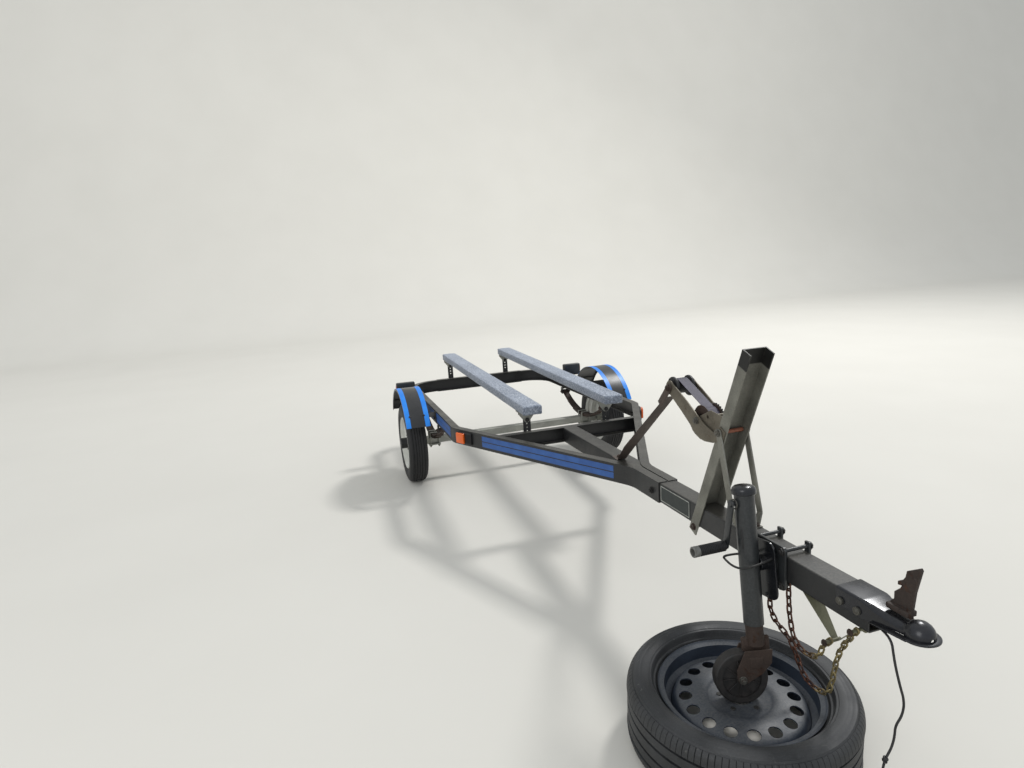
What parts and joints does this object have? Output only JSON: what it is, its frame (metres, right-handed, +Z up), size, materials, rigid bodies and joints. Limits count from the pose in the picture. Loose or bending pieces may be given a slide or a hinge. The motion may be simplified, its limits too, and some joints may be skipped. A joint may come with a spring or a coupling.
{
  "type": "boat trailer",
  "caption": "Small bunk-type boat trailer with bent channel frame, winch post, leaf-sprung axle and side jack, its caster standing in a wheel laid flat.",
  "frame": {"origin": "on the ground, at the centre of the whole object's bounding box", "axes": "-Y towards the coupler, +Z up, +X to the trailer's left"},
  "size_m": [1.512, 3.9584, 1.1421],
  "materials": {
    "frame_black": "satin, worn",
    "galvanised": "dull zinc",
    "white_paint": "satin",
    "tyre_rubber": "matte",
    "black_rubber": "matte",
    "black_plastic": "matte",
    "carpet": "speckled marine carpet",
    "red_lens": "gloss",
    "amber_lens": "gloss",
    "rusty_steel": "rusted",
    "brown_steel": "rusted through",
    "strap_web": "woven",
    "wheel_blue": "satin, scuffed",
    "blank_plate": "satin"
  },
  "bodies": {
    "trailer": {"tongue_tube": "frame_black", "rail_left": "frame_black", "rail_right": "frame_black", "front_crossmember": "frame_black", "rear_crossmember": "frame_black", "axle_beam": "galvanised", "leaf_spring_left": "rusty_steel", "leaf_spring_right": "rusty_steel", "spring_hangers": "frame_black", "spring_clamps": "galvanised", "fender_left": "frame_black", "fender_right": "frame_black", "fender_brackets": "frame_black", "light_brackets": "frame_black", "tail_lights": "black_plastic", "tail_lenses": "red_lens", "marker_bases": "black_plastic", "marker_lenses": "amber_lens", "bunk_left": "carpet", "bunk_right": "carpet", "bunk_posts": "frame_black", "bunk_swivels": "galvanised", "winch_post": "galvanised", "winch_struts": "galvanised", "bow_stop_arms": "galvanised", "bow_roller_pin": "rusty_steel", "bow_brace": "brown_steel", "winch_frame": "galvanised", "winch_drum": "brown_steel", "winch_gear": "rusty_steel", "winch_strap": "strap_web", "coupler": "galvanised", "coupler_bolts": "galvanised", "coupler_latch": "rusty_steel", "tongue_foot": "frame_black", "name_plate": "blank_plate", "jack_tube": "galvanised", "jack_crank": "galvanised", "jack_grip": "black_rubber", "jack_bracket": "galvanised", "jack_swivel": "galvanised", "spare_tyre": "tyre_rubber", "spare_rim": "wheel_blue"},
    "left_wheel": {"hub_left": "galvanised", "rim_left": "white_paint", "tyre_left": "tyre_rubber", "hub_cap_left": "black_plastic"},
    "right_wheel": {"hub_right": "galvanised", "rim_right": "white_paint", "tyre_right": "tyre_rubber", "hub_cap_right": "black_plastic"},
    "leg": {"jack_leg": "rusty_steel", "caster_fork": "rusty_steel"},
    "caster": {"caster_wheel": "black_plastic"},
    "roller": {"bow_roller": "black_rubber"}
  },
  "joints": [
    {"name": "left_wheel_spin", "type": "hinge", "parent": "trailer", "child": "left_wheel", "pos_m": [0.676, 1.1358, 0.252], "axis": [1, 0, 0], "continuous": true},
    {"name": "right_wheel_spin", "type": "hinge", "parent": "trailer", "child": "right_wheel", "pos_m": [-0.676, 1.1358, 0.252], "axis": [1, 0, 0], "continuous": true},
    {"name": "jack_leg_slide", "type": "slide", "parent": "trailer", "child": "leg", "axis": [0, 0.1537, 0.9881], "range_m": [0, 0.05]},
    {"name": "caster_spin", "type": "hinge", "parent": "leg", "child": "caster", "pos_m": [-0.15739, -1.52844, 0.21622], "axis": [-0.3007, -0.9424, 0.1466], "continuous": true},
    {"name": "roller_spin", "type": "hinge", "parent": "trailer", "child": "roller", "pos_m": [0, -0.96464, 0.95184], "axis": [1, 0, 0], "continuous": true}
  ]
}
